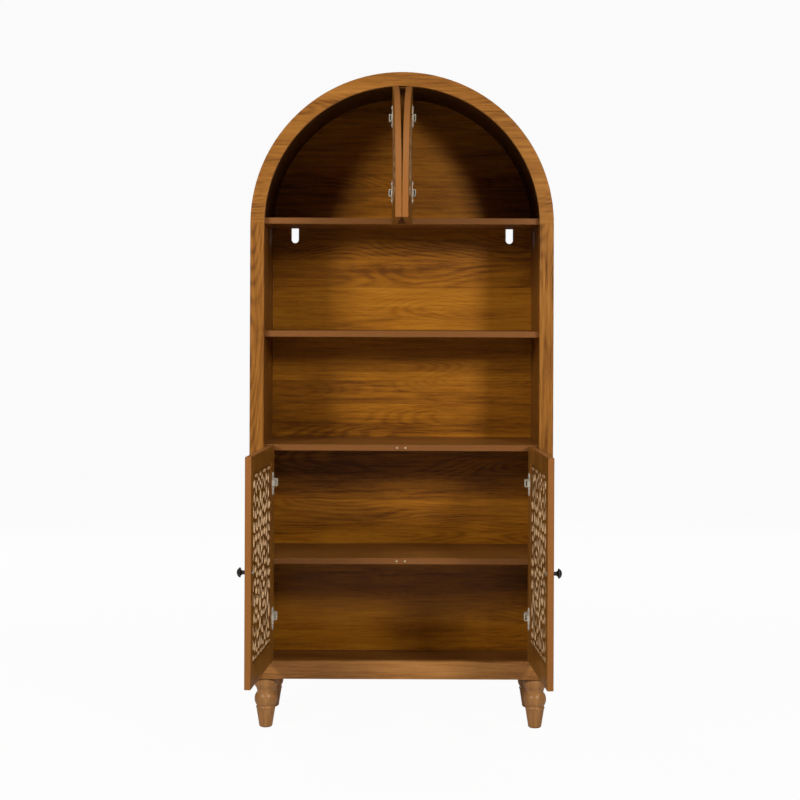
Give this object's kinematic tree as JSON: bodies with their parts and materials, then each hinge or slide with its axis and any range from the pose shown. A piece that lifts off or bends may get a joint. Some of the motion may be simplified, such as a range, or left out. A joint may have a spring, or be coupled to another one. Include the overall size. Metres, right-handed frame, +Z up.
{
  "type": "moroccan carved cabinet",
  "caption": "Tall round-topped cabinet with open shelves, quarter-round doors in the arch and pierced lower doors, on turned legs.",
  "frame": {"origin": "on the floor, under the middle of the box that the cabinet fills with its doors standing open as at rest", "axes": "+X to the right seen from the front, +Y from the front to the back, +Z up"},
  "size_m": [0.8, 0.6602, 1.7339],
  "materials": {
    "frame_wood": "satin walnut-coloured veneer",
    "board_wood": "satin walnut-coloured veneer",
    "skin_wood": "satin walnut-coloured veneer",
    "back_wood": "satin walnut-coloured veneer",
    "core_wood": "raw",
    "door_wood": "satin walnut-coloured veneer",
    "lattice_wood": "satin veneer, raw in the openings",
    "leg_wood": "glossy",
    "hinge_steel": "nickel plated",
    "screw_steel": "zinc plated",
    "knob": "satin black",
    "bumper": "clear"
  },
  "bodies": {
    "carcass": {"front_arch": "frame_wood", "left_stile": "frame_wood", "right_stile": "frame_wood", "bottom_rail": "frame_wood", "middle_shelf": "board_wood", "cabinet_top_board": "board_wood", "cabinet_shelf": "board_wood", "base_board": "board_wood", "arch_shelf": "board_wood", "arch_divider": "board_wood", "left_side_board": "board_wood", "right_side_board": "board_wood", "arch_lining": "board_wood", "left_side_skin": "skin_wood", "right_side_skin": "skin_wood", "arch_outer_skin": "skin_wood", "left_side_battens": "core_wood", "right_side_battens": "core_wood", "arch_formers": "core_wood", "board_dowels": "core_wood", "arch_back_panel": "back_wood", "lower_back_panel": "back_wood", "front_left_leg": "leg_wood", "front_right_leg": "leg_wood", "rear_left_leg": "leg_wood", "rear_right_leg": "leg_wood", "upper_hinge_arms": "hinge_steel", "lower_hinge_arms": "hinge_steel", "hinge_plates": "hinge_steel", "back_panel_screws": "screw_steel", "hinge_screws": "screw_steel", "leg_bolts": "screw_steel", "door_bumpers": "bumper"},
    "upper_left_door_body": {"upper_left_door_frame": "door_wood", "upper_left_door_lattice": "lattice_wood", "upper_left_hinge_cups": "hinge_steel", "upper_left_hinge_links": "hinge_steel", "upper_left_cup_screws": "screw_steel"},
    "upper_right_door_body": {"upper_right_door_frame": "door_wood", "upper_right_door_lattice": "lattice_wood", "upper_right_hinge_cups": "hinge_steel", "upper_right_hinge_links": "hinge_steel", "upper_right_cup_screws": "screw_steel"},
    "lower_left_door_body": {"lower_left_door_frame": "door_wood", "lower_left_door_lattice": "lattice_wood", "lower_left_hinge_cups": "hinge_steel", "lower_left_hinge_links": "hinge_steel", "lower_left_cup_screws": "screw_steel", "lower_left_knob": "knob", "lower_left_knob_screw": "screw_steel"},
    "lower_right_door_body": {"lower_right_door_frame": "door_wood", "lower_right_door_lattice": "lattice_wood", "lower_right_hinge_cups": "hinge_steel", "lower_right_hinge_links": "hinge_steel", "lower_right_cup_screws": "screw_steel", "lower_right_knob": "knob", "lower_right_knob_screw": "screw_steel"}
  },
  "joints": [
    {"name": "upper_left_door_hinge", "type": "hinge", "parent": "carcass", "child": "upper_left_door_body", "pos_m": [-0.0105, 0.02072, 1.515], "axis": [0, 0, 1], "range_deg": [-91.74, 0]},
    {"name": "upper_right_door_hinge", "type": "hinge", "parent": "carcass", "child": "upper_right_door_body", "pos_m": [0.0105, 0.02072, 1.515], "axis": [0, 0, 1], "range_deg": [0, 91.74]},
    {"name": "lower_left_door_hinge", "type": "hinge", "parent": "carcass", "child": "lower_left_door_body", "pos_m": [-0.352, 0.02072, 0.466], "axis": [0, 0, 1], "range_deg": [-10.5, 94.5]},
    {"name": "lower_right_door_hinge", "type": "hinge", "parent": "carcass", "child": "lower_right_door_body", "pos_m": [0.352, 0.02072, 0.466], "axis": [0, 0, 1], "range_deg": [-93.5, 11.5]}
  ]
}
